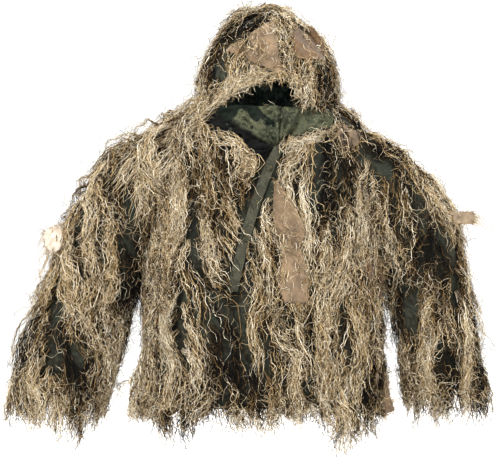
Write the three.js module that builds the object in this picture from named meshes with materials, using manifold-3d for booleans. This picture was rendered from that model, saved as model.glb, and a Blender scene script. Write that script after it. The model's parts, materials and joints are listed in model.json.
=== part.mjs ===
// A hooded ghillie jacket as it hangs when worn: a camouflage shell of sewn panels, sleeves that
// swing at the shoulder and bend at the elbow, a hood that folds back, a snapped front fly, and
// a coat of jute fringe and burlap strips over all of it.
// Millimetres, +Z up, the front faces -Y, and the wearer's left is +X.
// The origin is the centre of the wearer's neck, at the neck seam.

import * as THREE from 'three';
import { mergeVertices } from 'three/addons/utils/BufferGeometryUtils.js';
import Module from 'manifold-3d';

const wasm = await Module();
wasm.setup();

// ---------------------------------------------------------------- driving dimensions

const GAP = 0.4;
const WIDE = 900;
const OVERSHOOT = 5;
const FABRIC = 6;
const LINING = 4;
const FRINGE_START = FABRIC + 1.5;
const FRINGE = 30;
const BURLAP = 3;
const HEM_HEIGHT = -775;
const FRINGE_LOW = -880;
const NECK_SEAM = 6;
const HOOD_SEAM = 27;
const NEAREST_SECTION = 2;
const RING_POINTS = 20;
const SLEEVE_POINTS = 12;
const SLEEVE_SECTIONS = 10;
const SQUARENESS = 2.4;

// Torso sections: height, half width, half depth.
const TORSO = [
  [-900, 318, 152],
  [-775, 314, 152],
  [-480, 304, 150],
  [-250, 290, 143],
  [-150, 284, 140],
  [-100, 280, 138],
  [-60, 268, 126],
  [-25, 244, 114],
  [0, 206, 106],
  [30, 164, 106],
];

// Hood sections: height, half width, half depth.
const HOOD = [
  [-20, 150, 106],
  [30, 162, 122],
  [70, 170, 134],
  [115, 164, 136],
  [160, 144, 128],
  [205, 112, 104],
  [240, 76, 76],
  [264, 38, 40],
  [272, 6, 6],
];
const HOOD_CENTRE = { x: 10, y: 4 };
const CROWN_HALF_WIDTH = 58;

// Sleeve centre lines in the frontal plane, from inside the shoulder to the fringe's lowest end,
// with the half width of the tube at each point.
const SLEEVES = {
  right: [
    [-235, -112, 84],
    [-335, -192, 96],
    [-412, -315, 105],
    [-457, -455, 108],
    [-545, -735, 110],
    [-566, -820, 108],
  ],
  left: [
    [228, -112, 80],
    [322, -186, 92],
    [396, -305, 98],
    [436, -445, 95],
    [484, -735, 90],
    [496, -805, 88],
  ],
};
const SLEEVE_DEPTH = { shoulder: 88, cuff: 68 };
const SLEEVE_INNER_FRINGE = 0.35;
const GUSSET = [0, 0.15];
const UPPER_SLEEVE = [0.152, 0.38];
const ELBOW = [0.382, 0.5];
const FOREARM = [0.502, 0.84];
const CUFF = [0.842, 0.875];
const SLEEVE_END = 1;
const SLEEVE_CLEARANCE = 20;
// The gussets and elbow sections are cloth and fringe in one layer, a little shy of the fringe.
const GIVING_LAYER = FRINGE - 4;

// The front edge: down from the foot of the neck's V, slanting to the wearer's right, then plumb.
const V_FOOT = [36, -98];
const SLANT_FOOT = [-86, -472];
const FLY_HALF_WIDTH = 16;
const FLY_THICKNESS = 3;
const FLY_CLEARANCE = 26;
const FLY_STANDOFF = 4.2;
const SNAPS = 4;
const SNAP_CAP = { radius: 7.5, height: 2.5 };
const SNAP_STUD = { radius: 5, height: 2 };
const SNAP_FROM_CENTRE = 8;

// The neckline's corners, at the top of the panels.
const NECKLINE = { right: -168, left: 196, corner: 24, top: 60 };
// How far the fringe stops short of the panels' neckline, so that the throat flaps lie on them.
const NECKLINE_MARGIN = 26;
const NECK_LINING = { low: -130, front: -14 };

// Outlines in the frontal plane, as [x, z] points.
const THROAT_FLAPS = {
  left: [[44, -92], [70, -96], [196, 2], [196, 40], [60, 40]],
  right: [[-166, 40], [-166, 2], [0, -92], [10, -74], [-60, 40]],
};
const THROAT_FLAP_LOW = -104;
const FACE_OPENING = [
  [-132, -40],
  [-132, 36],
  [-96, 62],
  [-36, 82],
  [50, 84],
  [84, 66],
  [92, 30],
  [92, -40],
];
const UNDER_FLY = { halfWidth: 24, shift: -10, top: -106, low: -700 };
const TORSO_STRIPS = {
  chest: [[16, -214], [92, -226], [108, -396], [62, -408]],
  shoulder: [[196, -26], [258, -60], [244, -104], [186, -66]],
  hem: [[284, -668], [324, -672], [330, -774], [290, -770]],
};
const HOOD_STRIPS = {
  front: [[-98, 150], [-8, 236], [22, 226], [46, 108], [-30, 100]],
  side: [[62, 240], [120, 206], [150, 140], [84, 150]],
};
const SLEEVE_STRIPS = {
  left: [[500, -255], [520, -240], [420, -215], [410, -240]],
  right: [[-560, -300], [-545, -330], [-470, -300], [-480, -270]],
};

// The hanger loop's centre line, inside the back of the neck.
const HANGER_LOOP = [
  [-18, 91, -6],
  [-17, 86, -22],
  [0, 82, -30],
  [17, 86, -22],
  [18, 91, -6],
];
const HANGER_RADIUS = 2.5;

const COLOURS = {
  camo: 0x5c5f4c,
  lining: 0x4b4f3e,
  olive: 0x5f614e,
  jute: 0xab9468,
  dark: 0x3a382c,
  burlap: 0xa2875f,
  webbing: 0x55563f,
  snap: 0x2e2d28,
};

// ---------------------------------------------------------------- solids

function toSolid(geometry) {
  const bare = geometry.clone();
  bare.deleteAttribute('normal');
  bare.deleteAttribute('uv');
  const merged = mergeVertices(bare, 1e-4);
  const mesh = new wasm.Mesh({
    numProp: 3,
    vertProperties: new Float32Array(merged.attributes.position.array),
    triVerts: new Uint32Array(merged.index.array),
  });
  return new wasm.Manifold(mesh);
}

function toGeometry(solid) {
  const { vertProperties, triVerts } = solid.getMesh();
  const geometry = new THREE.BufferGeometry();
  geometry.setAttribute('position', new THREE.BufferAttribute(new Float32Array(vertProperties), 3));
  geometry.setIndex(new THREE.BufferAttribute(new Uint32Array(triVerts), 1));
  geometry.computeVertexNormals();
  return geometry;
}

function signedVolume(positions, index) {
  const [a, b, c] = [new THREE.Vector3(), new THREE.Vector3(), new THREE.Vector3()];
  let volume = 0;
  for (let i = 0; i < index.length; i += 3) {
    a.fromArray(positions, index[i] * 3);
    b.fromArray(positions, index[i + 1] * 3);
    c.fromArray(positions, index[i + 2] * 3);
    volume += a.dot(b.cross(c)) / 6;
  }
  return volume;
}

// A closed solid through rings that all have the same number of points.
function loft(rings) {
  const count = rings[0].length;
  const points = rings.flat();
  const index = [];
  for (let r = 0; r < rings.length - 1; r += 1) {
    for (let i = 0; i < count; i += 1) {
      const a = r * count + i;
      const b = r * count + ((i + 1) % count);
      index.push(a, b, b + count, a, b + count, a + count);
    }
  }
  for (const [ring, start, flip] of [[rings[0], 0, true], [rings.at(-1), points.length - count, false]]) {
    const centre = ring.reduce((sum, p) => sum.add(p), new THREE.Vector3()).divideScalar(count);
    const hub = points.push(centre) - 1;
    for (let i = 0; i < count; i += 1) {
      const next = start + ((i + 1) % count);
      index.push(hub, ...(flip ? [next, start + i] : [start + i, next]));
    }
  }
  const positions = points.flatMap((p) => [p.x, p.y, p.z]);
  if (signedVolume(positions, index) < 0) index.reverse();
  const geometry = new THREE.BufferGeometry();
  geometry.setAttribute('position', new THREE.Float32BufferAttribute(positions, 3));
  geometry.setIndex(index);
  return toSolid(geometry);
}

function box(x, y, z) {
  const geometry = new THREE.BoxGeometry(x[1] - x[0], y[1] - y[0], z[1] - z[0]);
  geometry.translate((x[0] + x[1]) / 2, (y[0] + y[1]) / 2, (z[0] + z[1]) / 2);
  return toSolid(geometry);
}

// An outline in the frontal plane, as [x, z] points, pushed through from one depth to another.
function prism(outline, yFront, yBack) {
  const shape = new THREE.Shape(outline.map(([x, z]) => new THREE.Vector2(x, z)));
  const geometry = new THREE.ExtrudeGeometry(shape, { depth: yBack - yFront, bevelEnabled: false });
  geometry.rotateX(Math.PI / 2);
  geometry.translate(0, yBack, 0);
  return toSolid(geometry);
}

function between(rows, height) {
  const top = rows.length - 1;
  const upper = Math.min(Math.max(rows.findIndex((row) => row[0] > height), 1), top);
  const next = height >= rows[top][0] ? top : upper;
  const [low, high] = [rows[next - 1], rows[next]];
  const share = THREE.MathUtils.clamp((height - low[0]) / (high[0] - low[0]), 0, 1);
  return low.map((value, i) => THREE.MathUtils.lerp(value, high[i], share));
}

// A rounded-square ring around a centre, level with the ground.
function levelRing(centre, halfWidth, halfDepth, height) {
  const power = 2 / SQUARENESS;
  return Array.from({ length: RING_POINTS }, (_, i) => {
    const angle = (2 * Math.PI * (i + 0.5)) / RING_POINTS;
    const [c, s] = [Math.cos(angle), Math.sin(angle)];
    return new THREE.Vector3(
      centre.x + Math.sign(c) * Math.abs(c) ** power * halfWidth,
      centre.y + Math.sign(s) * Math.abs(s) ** power * halfDepth,
      height,
    );
  });
}

function stack(rows, low, high, ring) {
  const inside = (z) => z > low + NEAREST_SECTION && z < high - NEAREST_SECTION;
  const inner = rows.map((row) => row[0]).filter(inside);
  const heights = [low, ...inner, high];
  return loft(heights.map((height) => ring(between(rows, height))));
}

function torsoSolid(offset, low, high) {
  const centre = { x: 0, y: 0 };
  const ring = ([height, width, depth]) => levelRing(centre, width + offset, depth + offset, height);
  return stack(TORSO, low, high, ring);
}

function torsoShell(inner, outer, low, high) {
  return torsoSolid(outer, low, high).subtract(torsoSolid(inner, low - OVERSHOOT, high + OVERSHOOT));
}

// The hood grows in height with its offset too, so that its fringe also covers the crown.
function hoodSolid(offset, low, high) {
  const top = HOOD.at(-1)[0];
  const ring = ([height, width, depth]) => {
    const rise = offset * Math.max(height / top, 0) ** 2;
    return levelRing(HOOD_CENTRE, width + offset, depth + offset, height + rise);
  };
  return stack(HOOD, low, high, ring);
}

function hoodShell(inner, outer, low) {
  const top = HOOD.at(-1)[0];
  return hoodSolid(outer, low, top).subtract(hoodSolid(inner, low - OVERSHOOT, top));
}

function sleeveCurve(side) {
  return new THREE.CatmullRomCurve3(SLEEVES[side].map(([x, z]) => new THREE.Vector3(x, 0, z)));
}

// The places along a sleeve where its sections lie, with an overshoot past each end for a cutter.
// Sections closer than 1% of the sleeve are left out.
function stations(start, end, overshoot) {
  const grid = Array.from({ length: SLEEVE_SECTIONS }, (_, k) => k / SLEEVE_SECTIONS);
  const inside = grid.filter((t) => t > start + 0.01 && t < end - 0.01);
  const ends = overshoot > 0 ? [start - overshoot, end + overshoot] : [];
  return [start, ...inside, end, ...ends].sort((a, b) => a - b);
}

function sleeveSolid(side, offset, start, end, overshoot = 0) {
  const curve = sleeveCurve(side);
  const outward = side === 'left' ? 1 : -1;
  const widths = SLEEVES[side].map((row, i) => [i / (SLEEVES[side].length - 1), row[2]]);
  const innerReach = Math.min(offset, FABRIC + (offset - FABRIC) * SLEEVE_INNER_FRINGE);
  return loft(stations(start, end, overshoot).map((t) => {
    const along = THREE.MathUtils.clamp(t, 0, 1);
    const tangent = curve.getTangentAt(along);
    const beyond = (t - along) * curve.getLength();
    const centre = curve.getPointAt(along).addScaledVector(tangent, beyond);
    const across = new THREE.Vector3(-tangent.z, 0, tangent.x).multiplyScalar(outward);
    const halfWidth = between(widths, along)[1];
    const halfDepth = THREE.MathUtils.lerp(SLEEVE_DEPTH.shoulder, SLEEVE_DEPTH.cuff, along);
    return Array.from({ length: SLEEVE_POINTS }, (_, i) => {
      const angle = (2 * Math.PI * (i + 0.5)) / SLEEVE_POINTS;
      const [c, s] = [Math.cos(angle), Math.sin(angle)];
      const reach = c > 0 ? offset : innerReach;
      return centre.clone()
        .addScaledVector(across, c * (halfWidth + reach))
        .add(new THREE.Vector3(0, s * (halfDepth + offset), 0));
    });
  }));
}

function sleeveShell(side, inner, outer, [start, end]) {
  return sleeveSolid(side, outer, start, end).subtract(sleeveSolid(side, inner, start, end, 0.02));
}

// ---------------------------------------------------------------- cutters

const FRONT = [-WIDE, -GAP / 2];
const BACK = [GAP / 2, WIDE];

function side(name, clearance) {
  const sign = name === 'left' ? 1 : -1;
  const shift = sign * clearance;
  return prism([
    [V_FOOT[0] + shift, WIDE],
    [V_FOOT[0] + shift, V_FOOT[1]],
    [SLANT_FOOT[0] + shift, SLANT_FOOT[1]],
    [SLANT_FOOT[0] + shift, -WIDE - 100],
    [sign * WIDE, -WIDE - 100],
    [sign * WIDE, WIDE],
  ], ...FRONT);
}

function neckV(grow) {
  return prism([
    [NECKLINE.right - grow, NECKLINE.top],
    [NECKLINE.right - grow, NECKLINE.corner],
    [V_FOOT[0], V_FOOT[1] - grow],
    [NECKLINE.left + grow, NECKLINE.corner],
    [NECKLINE.left + grow, NECKLINE.top],
  ], -WIDE, -20);
}

const sleeveHull = (name) => sleeveSolid(name, FRINGE + SLEEVE_CLEARANCE, 0, SLEEVE_END, 0.01);
const sleeveHulls = sleeveHull('left').add(sleeveHull('right'));

const faceOpening = prism(FACE_OPENING, -WIDE, -10);

// ---------------------------------------------------------------- scene

const material = (colour, roughness = 0.95, metalness = 0) => (
  new THREE.MeshStandardMaterial({ color: COLOURS[colour], roughness, metalness })
);

function piece(group, name, solid, finish) {
  const mesh = new THREE.Mesh(toGeometry(solid), finish);
  mesh.name = name;
  group.add(mesh);
}

function torso(group) {
  const shell = torsoShell(0, FABRIC, HEM_HEIGHT, NECK_SEAM).subtract(sleeveHulls);
  const front = shell.subtract(neckV(0));
  piece(group, 'back_panel', shell.intersect(box([-WIDE, WIDE], BACK, [-WIDE, WIDE])), material('camo'));
  piece(group, 'front_panel_right', front.intersect(side('right', GAP)), material('camo'));
  piece(group, 'front_panel_left', front.intersect(side('left', GAP)), material('camo'));

  const lining = torsoShell(-1 - LINING, -1, NECK_LINING.low, NECK_SEAM).subtract(sleeveHulls);
  const behind = box([-WIDE, WIDE], [NECK_LINING.front, WIDE], [-WIDE, WIDE]);
  piece(group, 'neck_lining', lining.intersect(behind), material('lining'));
}

function throatFlaps(group) {
  const sheet = torsoShell(FRINGE_START, FRINGE_START + LINING, THROAT_FLAP_LOW, NECK_SEAM)
    .intersect(neckV(NECKLINE_MARGIN - 1));
  for (const [name, outline] of Object.entries(THROAT_FLAPS)) {
    piece(group, `throat_flap_${name}`, sheet.intersect(prism(outline, ...FRONT)), material('olive'));
  }
}

function torsoFringe(group) {
  const shell = torsoShell(FRINGE_START, FRINGE, FRINGE_LOW, NECK_SEAM).subtract(sleeveHulls);
  const front = shell.subtract(neckV(NECKLINE_MARGIN));
  for (const [name, x] of [['right', [-WIDE, -GAP / 2]], ['left', [GAP / 2, WIDE]]]) {
    const half = box(x, BACK, [-WIDE - 100, WIDE]);
    piece(group, `fringe_back_${name}`, shell.intersect(half), material('jute'));
    piece(group, `fringe_front_${name}`, front.intersect(side(name, FLY_CLEARANCE)), material('jute'));
  }
}

// The neck band's fabric gives way as the hood folds back.
function neckBand(group) {
  const low = NECK_SEAM + GAP;
  const high = HOOD_SEAM - GAP;
  const band = torsoShell(0, FABRIC, low, high).subtract(neckV(0));
  piece(group, 'neck_band', band, material('camo'));
}

function hangerLoop(group) {
  const loop = new THREE.CatmullRomCurve3(HANGER_LOOP.map((point) => new THREE.Vector3(...point)));
  const section = new THREE.Shape();
  section.absellipse(0, 0, HANGER_RADIUS, HANGER_RADIUS, 0, 2 * Math.PI);
  const geometry = new THREE.ExtrudeGeometry(section, {
    extrudePath: loop, steps: 16, curveSegments: 4, bevelEnabled: false,
  });
  piece(group, 'hanger_loop', toSolid(geometry), material('webbing'));
}

// ---------------------------------------------------------------- front fly

// Where the torso's front surface lies at a place in the frontal plane.
function torsoFront(x, z, offset) {
  const [, width, depth] = between(TORSO, z);
  const share = Math.abs(x) / (width + offset);
  return -(depth + offset) * (1 - share ** SQUARENESS) ** (1 / SQUARENESS);
}

function onFront([x, z], offset) {
  return new THREE.Vector3(x, torsoFront(x, z, offset), z);
}

const FLY_TOP = onFront([V_FOOT[0] - 2, V_FOOT[1] - 4], FABRIC + FLY_STANDOFF);
const FLY_FOOT = onFront([SLANT_FOOT[0] + 2, SLANT_FOOT[1] + 2], FABRIC + FLY_STANDOFF);

function strip(centreTop, centreFoot, halfWidth, thickness) {
  const ring = (centre) => [[-1, 0], [1, 0], [1, -1], [-1, -1]].map(([across, out]) => (
    new THREE.Vector3(centre.x + across * halfWidth, centre.y + out * thickness, centre.z)
  ));
  return loft([ring(centreTop), ring(centreFoot)]);
}

function snap(group, name, { radius, height }, x, back, z) {
  const disc = new THREE.CylinderGeometry(radius, radius, height, 20);
  const mesh = new THREE.Mesh(disc, material('snap', 0.45, 0.6));
  mesh.name = name;
  mesh.position.set(x, back - GAP - height / 2, z);
  group.add(mesh);
}

function fly(jacket, flap) {
  piece(flap, 'over_fly', strip(FLY_TOP, FLY_FOOT, FLY_HALF_WIDTH, FLY_THICKNESS), material('olive'));
  const { halfWidth, shift, top, low } = UNDER_FLY;
  const [above, below] = [V_FOOT[0] + shift, SLANT_FOOT[0] + shift];
  const underFly = torsoShell(-1 - LINING, -1, low, top).intersect(prism([
    [above + halfWidth, V_FOOT[1]],
    [below + halfWidth, SLANT_FOOT[1]],
    [below + halfWidth, -WIDE],
    [below - halfWidth, -WIDE],
    [below - halfWidth, SLANT_FOOT[1]],
    [above - halfWidth, V_FOOT[1]],
  ], ...FRONT));
  piece(jacket, 'under_fly', underFly, material('olive'));
  for (let i = 0; i < SNAPS; i += 1) {
    const place = FLY_TOP.clone().lerp(FLY_FOOT, (i + 0.5) / SNAPS);
    const x = place.x - SNAP_FROM_CENTRE;
    snap(flap, `snap_cap_${i + 1}`, SNAP_CAP, x, place.y - FLY_THICKNESS, place.z);
    snap(jacket, `snap_stud_${i + 1}`, SNAP_STUD, x, torsoFront(x, place.z, FABRIC), place.z);
  }
}

// ---------------------------------------------------------------- hood

function hood(group) {
  const crown = [HOOD_CENTRE.x - CROWN_HALF_WIDTH, HOOD_CENTRE.x + CROWN_HALF_WIDTH];
  const thirds = {
    right: [-WIDE, crown[0] - GAP],
    crown,
    left: [crown[1] + GAP, WIDE],
  };
  const layers = {
    hood: hoodShell(0, FABRIC, HOOD_SEAM).subtract(faceOpening),
    fringe_hood: hoodShell(FRINGE_START, FRINGE, HOOD_SEAM).subtract(faceOpening),
  };
  for (const [layer, shell] of Object.entries(layers)) {
    for (const [name, x] of Object.entries(thirds)) {
      const third = shell.intersect(box(x, [-WIDE, WIDE], [-WIDE, WIDE]));
      piece(group, `${layer}_${name}`, third, material(layer === 'hood' ? 'camo' : 'jute'));
    }
  }
  const lining = hoodShell(-1 - LINING, -1, HOOD_SEAM).subtract(faceOpening);
  piece(group, 'hood_lining', lining, material('lining'));
}

// ---------------------------------------------------------------- sleeves

function sleeves(jacket, arms) {
  for (const name of ['right', 'left']) {
    const { upper, lower } = arms[name];
    const gusset = sleeveShell(name, 0, GIVING_LAYER, GUSSET);
    const shoulder = gusset.subtract(torsoSolid(FRINGE + 1, FRINGE_LOW, HOOD_SEAM));
    piece(jacket, `shoulder_gusset_${name}`, largest(shoulder), material('jute'));
    piece(upper, `sleeve_upper_${name}`, sleeveShell(name, 0, FABRIC, UPPER_SLEEVE), material('camo'));
    const upperFringe = sleeveShell(name, FRINGE_START, FRINGE, UPPER_SLEEVE);
    piece(upper, `fringe_sleeve_upper_${name}`, upperFringe, material('jute'));
    piece(upper, `elbow_section_${name}`, sleeveShell(name, 0, GIVING_LAYER, ELBOW), material('jute'));
    piece(lower, `sleeve_lower_${name}`, sleeveShell(name, 0, FABRIC, FOREARM), material('camo'));
    piece(lower, `cuff_${name}`, sleeveShell(name, 0, FABRIC, CUFF), material('olive'));
    const lowerFringe = sleeveShell(name, FRINGE_START, FRINGE, [FOREARM[0], SLEEVE_END]);
    piece(lower, `fringe_sleeve_lower_${name}`, lowerFringe, material('jute'));
  }
}

// ---------------------------------------------------------------- burlap strips

// Each strip is a flat piece of burlap tied over the fringe, cut from a skin that lies on it.
function burlapStrips({ jacket, hood: cap, upper_left: upperLeft, upper_right: upperRight }) {
  const low = FRINGE + 1;
  const high = low + BURLAP;
  const cloth = material('burlap');
  const onTorso = torsoShell(low, high, -790, NECK_SEAM).subtract(sleeveHulls);
  for (const [name, outline] of Object.entries(TORSO_STRIPS)) {
    piece(jacket, `burlap_${name}`, onTorso.intersect(prism(outline, ...FRONT)), cloth);
  }
  const onHood = hoodShell(low, high, HOOD_SEAM);
  for (const [name, outline] of Object.entries(HOOD_STRIPS)) {
    piece(cap, `burlap_hood_${name}`, onHood.intersect(prism(outline, ...FRONT)), cloth);
  }
  for (const [name, group] of [['left', upperLeft], ['right', upperRight]]) {
    const onSleeve = sleeveShell(name, low, high, UPPER_SLEEVE);
    const cut = onSleeve.intersect(prism(SLEEVE_STRIPS[name], ...FRONT));
    piece(group, `burlap_sleeve_${name}`, largest(cut), cloth);
  }
}

function largest(solid) {
  return solid.decompose().sort((a, b) => b.volume() - a.volume())[0];
}

const suit = new THREE.Group();
const bodies = {};
for (const name of ['jacket', 'flap', 'hood', 'upper_right', 'upper_left', 'lower_right', 'lower_left']) {
  bodies[name] = new THREE.Group();
  suit.add(bodies[name]);
}
torso(bodies.jacket);
throatFlaps(bodies.jacket);
torsoFringe(bodies.jacket);
neckBand(bodies.jacket);
hangerLoop(bodies.jacket);
fly(bodies.jacket, bodies.flap);
hood(bodies.hood);
sleeves(bodies.jacket, {
  right: { upper: bodies.upper_right, lower: bodies.lower_right },
  left: { upper: bodies.upper_left, lower: bodies.lower_left },
});
burlapStrips(bodies);

export default suit;
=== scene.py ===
"""A hooded ghillie jacket: camouflage cloth panels under a coat of hanging jute thread and burlap.

Sizes are in metres, except in mm(...) and in the tables that say millimetres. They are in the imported
part's frame: +Z up, the front faces -Y, and the wearer's left is +X.
"""

import json
import math

import bpy
import numpy as np
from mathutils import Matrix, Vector
from mathutils.bvhtree import BVHTree

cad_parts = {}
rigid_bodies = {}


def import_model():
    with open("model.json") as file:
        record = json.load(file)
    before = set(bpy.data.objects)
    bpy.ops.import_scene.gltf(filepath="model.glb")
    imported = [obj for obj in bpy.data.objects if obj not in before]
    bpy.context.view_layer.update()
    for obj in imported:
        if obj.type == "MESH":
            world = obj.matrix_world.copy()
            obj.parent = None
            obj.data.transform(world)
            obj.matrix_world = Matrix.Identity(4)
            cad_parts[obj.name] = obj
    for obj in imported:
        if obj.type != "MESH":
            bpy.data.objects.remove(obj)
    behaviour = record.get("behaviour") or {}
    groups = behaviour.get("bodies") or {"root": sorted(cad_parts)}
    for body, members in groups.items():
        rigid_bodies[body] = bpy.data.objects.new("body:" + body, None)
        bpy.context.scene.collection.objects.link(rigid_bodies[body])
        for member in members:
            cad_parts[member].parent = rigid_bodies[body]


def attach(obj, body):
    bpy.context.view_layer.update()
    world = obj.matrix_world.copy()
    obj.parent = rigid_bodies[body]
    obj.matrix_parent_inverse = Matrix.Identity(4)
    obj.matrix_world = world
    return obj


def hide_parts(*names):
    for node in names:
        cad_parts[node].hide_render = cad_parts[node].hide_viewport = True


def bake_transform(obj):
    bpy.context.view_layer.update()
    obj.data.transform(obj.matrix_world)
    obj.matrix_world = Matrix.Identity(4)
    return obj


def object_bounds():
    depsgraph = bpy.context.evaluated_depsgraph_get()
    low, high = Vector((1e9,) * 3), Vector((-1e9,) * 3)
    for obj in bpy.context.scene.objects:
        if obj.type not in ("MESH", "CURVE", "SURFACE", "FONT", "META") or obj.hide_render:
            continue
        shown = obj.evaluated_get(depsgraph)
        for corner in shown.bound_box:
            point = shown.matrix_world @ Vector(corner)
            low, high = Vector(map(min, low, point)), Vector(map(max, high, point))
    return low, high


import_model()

CAD_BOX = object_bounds()
DOWN = np.array([0.0, 0.0, -1.0])
SIDES = ("right", "left")


# ---------------------------------------------------------------- driving dimensions


def mm(rows):
    """Millimetres as an array of metres."""
    return np.array(rows) / 1000


# Height, half width and half depth of the torso's sections.
TORSO = mm([
    [-900, 318, 152], [-775, 314, 152], [-480, 304, 150], [-250, 290, 143], [-150, 284, 140],
    [-100, 280, 138], [-60, 268, 126], [-25, 244, 114], [0, 206, 106], [30, 164, 106],
])
# The same for the hood, about its own centre.
HOOD = mm([
    [-20, 150, 106], [30, 162, 122], [70, 170, 134], [115, 164, 136], [160, 144, 128], [205, 112, 104],
    [240, 76, 76], [264, 38, 40], [272, 6, 6],
])
HOOD_CENTRE = mm([10, 4])
SQUARENESS = 2.4

# Sleeve centre lines in the frontal plane, with the tube's half width at each point.
SLEEVES = {
    "right": mm([
        [-235, -112, 84], [-335, -192, 96], [-412, -315, 105], [-457, -455, 108], [-545, -735, 110],
        [-566, -820, 108],
    ]),
    "left": mm([
        [228, -112, 80], [322, -186, 92], [396, -305, 98], [436, -445, 95], [484, -735, 90],
        [496, -805, 88],
    ]),
}
# Half the depth of a sleeve at its top and at its end.
SLEEVE_DEPTH = (0.088, 0.068)
# Shares of a sleeve's length: the part inside the torso, where its bodies' threads and cloth meet,
# its cuff, and where it starts to turn with each joint and has turned fully.
ARMHOLE = 0.22
MID_UPPER_ARM, MID_FOREARM = 0.27, 0.55
CUFF_START, CUFF_END = 0.84, 0.875
TURNS = {"shoulder": (0.0, 0.26), "elbow": (0.36, 0.52)}

CHEST_LEVEL, WAIST_LEVEL = -0.30, -0.56
NECK_SEAM = 0.006
HEM = -0.775
V_FOOT = mm([36, -98])
SLANT_FOOT = mm([-86, -472])
# Thicknesses, and how far the cloth lies under the hull that the threads hang on.
CLOTH, THIN_CLOTH, FLY_CLOTH, UNDER_FLY_CLOTH, BURLAP_CLOTH = 0.0016, 0.0014, 0.003, 0.002, 0.0012
UNDER_HULL = 0.001

JUTE_RADIUS, FRAY_RADIUS = 0.0009, 0.0005
TONES = 64
ROOTS_APART = 0.027
LOCK_WIDTH = 0.050
# For each root: threads, threads under them, and on average wisps and tangled ends.
THREADS_EACH, UNDER_EACH, WISPS_EACH, TANGLES_EACH = 9, 4, 0.35, 3.4
THREAD_POINTS = 12
LONGEST_STEP = 0.045
SHORTEST_SHARE = 0.2
# How far the jute may stand to each side of the middle, to the front and back, and down, with the soft
# margin past it.
WIDEST, WIDE_MARGIN = 0.660, 0.025
DEEPEST, DEEP_MARGIN = 0.170, 0.022
LOWEST, LOW_MARGIN = -0.875, 0.042
FOREMOST = -0.190
# The least share of its width times its length that a burlap strip's area is said to be.
LEAST_SHARE = 0.31


# ---------------------------------------------------------------- small mathematics


def smooth(rows, x):
    """Every column of rows against its first, on a smooth curve through them."""
    keys = rows[:, 0]
    x = np.clip(np.asarray(x, float), keys[0], keys[-1])
    i = np.clip(np.searchsorted(keys, x, side="right") - 1, 0, len(keys) - 2)
    slopes = np.gradient(rows[:, 1:], keys, axis=0)
    width = (keys[i + 1] - keys[i])[..., None]
    s = ((x - keys[i]) / (keys[i + 1] - keys[i]))[..., None]
    a, b = rows[i, 1:], rows[i + 1, 1:]
    return (
        (2 * s**3 - 3 * s**2 + 1) * a
        + (s**3 - 2 * s**2 + s) * width * slopes[i]
        + (3 * s**2 - 2 * s**3) * b
        + (s**3 - s**2) * width * slopes[i + 1]
    )


def unit(v):
    return v / np.maximum(np.linalg.norm(v, axis=-1, keepdims=True), 1e-9)


def rumple(points, seed, wavelength, waves=14):
    """A smooth random field of about -1 to 1 over points, with bumps of about the wavelength."""
    rng = np.random.default_rng(seed)
    directions = unit(rng.normal(size=(waves, 3)))
    numbers = 2 * math.pi / (wavelength * rng.uniform(0.7, 1.8, waves))
    phases = rng.uniform(0, 2 * math.pi, waves)
    value = np.sin((points @ directions.T) * numbers + phases)
    return value.sum(-1) / math.sqrt(waves) * 1.1


# ---------------------------------------------------------------- the garment's surfaces


def level_point(centre, size, angle, height, offset):
    power = 2 / SQUARENESS
    c, s = np.cos(angle), np.sin(angle)
    x = centre[0] + np.sign(c) * np.abs(c) ** power * (size[..., 0] + offset)
    y = centre[1] + np.sign(s) * np.abs(s) ** power * (size[..., 1] + offset)
    return np.stack(np.broadcast_arrays(x, y, height), -1)


def torso_point(angle, height, offset=0.0):
    return level_point((0, 0), smooth(TORSO, height), angle, height, offset)


def hood_point(angle, height, offset=0.0):
    rise = offset * np.maximum(height / HOOD[-1, 0], 0) ** 2
    return level_point(HOOD_CENTRE, smooth(HOOD, height), angle, height + rise, offset)


def sleeve_frame(side, t):
    """Centre, outward direction and half width of a sleeve at t, from 0 at the shoulder to 1."""
    rows = SLEEVES[side]
    steps = np.linalg.norm(np.diff(rows[:, :2], axis=0), axis=1)
    keys = np.concatenate([[0], np.cumsum(steps)]) / steps.sum()
    table = np.column_stack([keys, rows])
    value = smooth(table, t)
    ahead, behind = smooth(table, np.minimum(t + 0.01, 1)), smooth(table, np.maximum(t - 0.01, 0))
    along = unit((ahead - behind)[..., :2])
    outward = 1 if side == "left" else -1
    zero = np.zeros_like(value[..., 0])
    centre = np.stack([value[..., 0], zero, value[..., 1]], -1)
    across = np.stack([-along[..., 1], zero, along[..., 0]], -1) * outward
    return centre, across, value[..., 2]


def sleeve_depth(t):
    return SLEEVE_DEPTH[0] + (SLEEVE_DEPTH[1] - SLEEVE_DEPTH[0]) * t


def sleeve_point(side, t, angle, offset=0.0):
    centre, across, half = sleeve_frame(side, t)
    point = centre + across * (np.cos(angle) * (half + offset))[..., None]
    point[..., 1] += np.sin(angle) * (sleeve_depth(t) + offset)
    return point


def sleeve_centre(side, t):
    return tuple(sleeve_frame(side, np.array(t))[0])


def turns(side, joint):
    """Where a sleeve starts to turn with the body past a joint, and where it has turned fully."""
    return [sleeve_centre(side, t) for t in TURNS[joint]]


def inside_sleeves(points, until):
    """Which points lie inside either sleeve's tube, down to the share until of its length."""
    inside = np.zeros(points.shape[:-1], bool)
    for side in SIDES:
        for t in np.linspace(0, until, 24):
            centre, across, half = sleeve_frame(side, np.array(t))
            along = np.cross(across, [0, 1, 0])
            away = points - centre
            near = np.abs(away @ along) < 0.02
            round_it = (away @ across / half) ** 2 + (away[..., 1] / sleeve_depth(t)) ** 2
            inside |= near & (round_it < 1)
    return inside


# ---------------------------------------------------------------- meshes


def new_object(name, mesh, material):
    mesh.materials.append(material)
    piece = bpy.data.objects.new(name, mesh)
    bpy.context.scene.collection.objects.link(piece)
    return piece


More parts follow.
